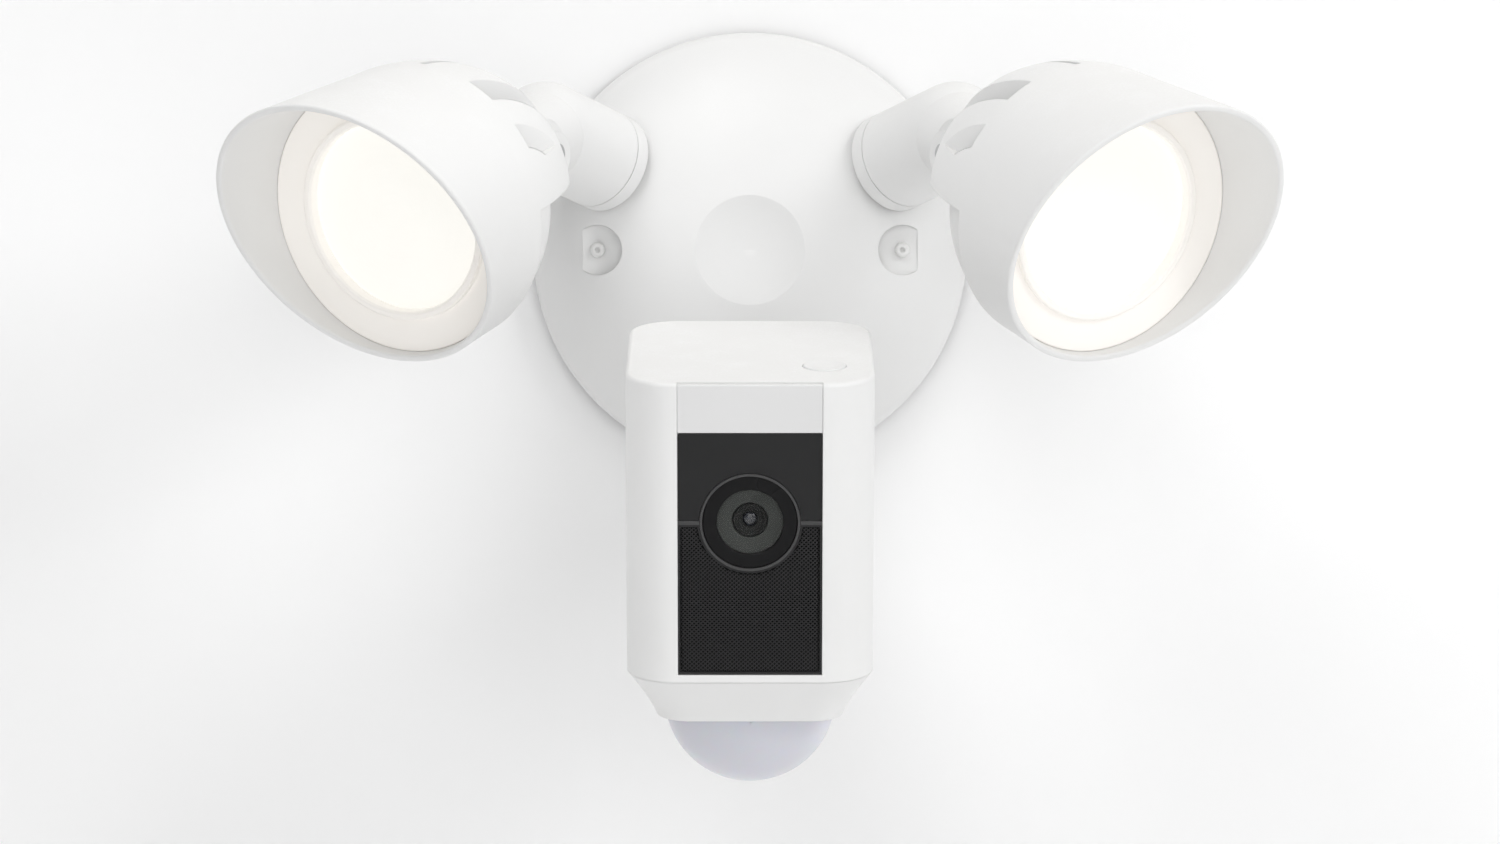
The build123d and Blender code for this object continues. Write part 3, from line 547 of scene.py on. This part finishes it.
# half profiles about the lens axis: radius and height above the head's face, in millimetres
MASK_PROFILE = [(13.15, -1.35), (13.15, -0.35), (13.0, -0.22), (9.35, -0.22), (9.2, -0.36),
                (9.2, -1.35)]
PANE_PROFILE = [(3.0, -0.95), (9.15, -0.95), (9.15, -0.45), (3.0, -0.45)]
SHROUD_BACK = [(4.9, -3.0), (4.9, -6.4), (10.6, -6.4), (10.6, -1.45)]
NOSE_PROFILE = [(4.78, -22.0), (4.78, -2.9), (4.55, -2.62), (4.2, -2.6), (4.05, -2.85),
                (3.7, -3.0), (3.4, -3.0), (3.3, -3.2), (2.5, -3.55), (2.25, -3.6),
                (2.15, -4.2), (2.15, -22.0)]
BEAD_R = 2.12
BEAD_CROWN = (-4.6, 1.35)            # height of the bead's rim, and its rise above that
BEAD_BACK = [(2.12, -5.4), (0.14, -5.4)]


def make_lens():
    """Window with a black mask, a ridged shroud behind it, the barrel's nose and its lens.
    The lens is a bead: radius R sin a, height rim + rise cos a, for a over a quarter turn."""
    mask = turned(np.array(MASK_PROFILE) * MM, LENS_STEPS)
    pane = capped(np.array(PANE_PROFILE) * MM, LENS_STEPS)
    cone = ridged_cone(9.15, 5.0, -1.45, -2.7, 9, 0.05)
    shroud = turned(np.concatenate([cone, SHROUD_BACK]) * MM, LENS_STEPS)
    nose = turned(np.array(NOSE_PROFILE) * MM, NOSE_STEPS)
    arc = np.linspace(0.0, math.pi / 2, 24)
    rim, rise = BEAD_CROWN
    crown = np.column_stack([BEAD_R * np.sin(arc), rim + rise * np.cos(arc)])
    bead = capped(np.concatenate([crown[1:], BEAD_BACK])[::-1] * MM, BEAD_STEPS)
    for name, shape, material, node, slot in (
            ("window_mask", mask, "mask_black", "lens_window", "lens_black"),
            ("window_pane", pane, "window_glass", "lens_window", "lens_black"),
            ("ridged_shroud", shroud, "shroud_grey", "lens_shroud", "shroud_grey"),
            ("barrel_nose", nose, "barrel_black", "lens_barrel", "barrel_black"),
            ("front_element", bead, "lens_glass", "lens_glass", "lens_clear")):
        points, faces = shape
        part = make_piece(name, placed(points, LENS), faces, "camera_head", MATERIALS[material])
        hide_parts(node)


# ---------------------------------------------------------------- diffusers
CROWN_R = 27.0
CROWN_FALL_R = 27.8                  # the crown has fallen by CROWN_FALL at this radius
CROWN_TOP = -1.0                     # heights are above the lens plane, in millimetres
CROWN_FALL = 2.0
RIPPLE_RISE = 0.02
RIPPLE_STEP = 3.0
POLE_R = 0.4                         # radius of the small flat at the crown's middle
COVER_EDGE = [(27.5, -2.95), (27.8, -3.12), (32.9, -3.12), (32.9, -4.9), (0.4, -4.9)]
COVER_STEPS = 144


def make_diffusers():
    """Opal cover of each light: a shallow crown, a rolled edge and the flange behind its bezel.
    Height falls by 2 mm * (r / 27.8)^2, with a faint ripple of 0.02 mm every 3 mm."""
    r = np.linspace(POLE_R, CROWN_R, 90)
    ripple = RIPPLE_RISE * np.sin(2 * math.pi * r / RIPPLE_STEP)
    crown = np.column_stack([r, CROWN_TOP - CROWN_FALL * (r / CROWN_FALL_R) ** 2 + ripple])
    points, faces = capped(np.concatenate([crown, COVER_EDGE])[::-1] * MM, COVER_STEPS)
    left = placed(points, LIGHT)
    for side, shape in (("left", (left, faces)), ("right", mirrored(left, faces))):
        cover = make_piece(side + "_opal_cover", *shape, side + "_light",
                           MATERIALS["opal_diffuser_lit"])
        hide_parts(side + "_diffuser")


# ---------------------------------------------------------------- stage, lights and camera
CAMERA_BACK = 1.472                  # metres in front of the wall, level with the base
CAMERA_DIP = math.radians(2.093)
FOCAL_SHARE = 4706 / 1500            # focal length over the frame's width
SENSOR = 36.0
LIGHT_TARGET = (0, -0.08, -0.03)
STAGE_WIDE = 3.0                     # half width of the wall and the floor
STAGE_HIGH = 2.5
STAGE_FLOOR = -0.34
WALL_GAP = 0.0006                    # from the object's back to the wall


def aim(thing, target):
    """Turns a light to look at a point."""
    thing.rotation_euler = (Vector(target) - thing.location).to_track_quat("-Z", "Y").to_euler()


def area_light(name, place, size, power):
    """A white square light, aimed at the object."""
    data = bpy.data.lights.new(name, "AREA")
    data.size = size
    data.energy = power
    light = bpy.data.objects.new(name, data)
    bpy.context.scene.collection.objects.link(light)
    light.location = place
    aim(light, LIGHT_TARGET)


def one_sided(name, colour):
    """Matt stage surface that is clear when seen from behind."""
    material = bpy.data.materials.new(name)
    material.use_nodes = True
    tree = material.node_tree
    principled = tree.nodes["Principled BSDF"]
    principled.inputs["Base Color"].default_value = (*colour, 1.0)
    principled.inputs["Roughness"].default_value = 0.9
    principled.inputs["Specular IOR Level"].default_value = 0.1
    clear = tree.nodes.new("ShaderNodeBsdfTransparent")
    mix = tree.nodes.new("ShaderNodeMixShader")
    tree.links.new(tree.nodes.new("ShaderNodeNewGeometry").outputs["Backfacing"], mix.inputs[0])
    tree.links.new(principled.outputs[0], mix.inputs[1])
    tree.links.new(clear.outputs[0], mix.inputs[2])
    tree.links.new(mix.outputs[0], tree.nodes["Material Output"].inputs["Surface"])
    return material


def stage_sheet(name, corners, material):
    """One flat sheet of the stage."""
    mesh = bpy.data.meshes.new(name)
    mesh.from_pydata(corners, [], [(0, 1, 2, 3)])
    mesh.materials.append(material)
    sheet = bpy.data.objects.new(name, mesh)
    bpy.context.scene.collection.objects.link(sheet)


def make_stage():
    """Pale wall behind the object and pale floor below it."""
    wide, high, floor = STAGE_WIDE, STAGE_HIGH, STAGE_FLOOR
    stage_sheet("wall", [(-wide, WALL_GAP, floor), (wide, WALL_GAP, floor),
                         (wide, WALL_GAP, high), (-wide, WALL_GAP, high)],
                one_sided("wall_paint", (0.97, 0.97, 0.97)))
    stage_sheet("floor", [(-wide, -wide, floor), (wide, -wide, floor),
                          (wide, wide, floor), (-wide, wide, floor)],
                one_sided("floor_pale", (0.86, 0.86, 0.86)))


# name, place, size and power of each soft light
SOFT_LIGHTS = (
    ("key", (1.6, -1.4, 1.1), 0.9, 14.7),
    ("top", (0.1, -0.9, 1.9), 1.5, 5.6),
    ("top_left", (-0.6, -1.2, 1.8), 1.2, 16.2),
    ("low_right", (2.0, -1.0, 0.5), 0.8, 2.9),
    ("front", (0.0, -2.4, 0.3), 2.0, 17.0),
)
ROOM_GLOW = 0.14


def make_lights():
    """Soft lights round the front of the object, and an even white room."""
    for name, place, size, power in SOFT_LIGHTS:
        area_light(name, place, size, power)
    world = bpy.data.worlds.new("soft_room")
    world.use_nodes = True
    background = world.node_tree.nodes["Background"]
    background.inputs["Color"].default_value = (1.0, 1.0, 1.0, 1.0)
    background.inputs["Strength"].default_value = ROOM_GLOW
    bpy.context.scene.world = world


def make_camera():
    """Camera facing the wall, looking slightly down."""
    data = bpy.data.cameras.new("camera")
    data.sensor_width = SENSOR
    data.lens = FOCAL_SHARE * SENSOR
    camera = bpy.data.objects.new("camera", data)
    bpy.context.scene.collection.objects.link(camera)
    camera.location = (0.0, -CAMERA_BACK, 0.0)
    camera.rotation_euler = (math.pi / 2 - CAMERA_DIP, 0.0, 0.0)
    bpy.context.scene.camera = camera


make_camera()
make_stage()
make_lights()
dress_nodes()
make_diffusers()
make_grille()
make_lens()
bpy.context.scene.view_settings.view_transform = "Standard"
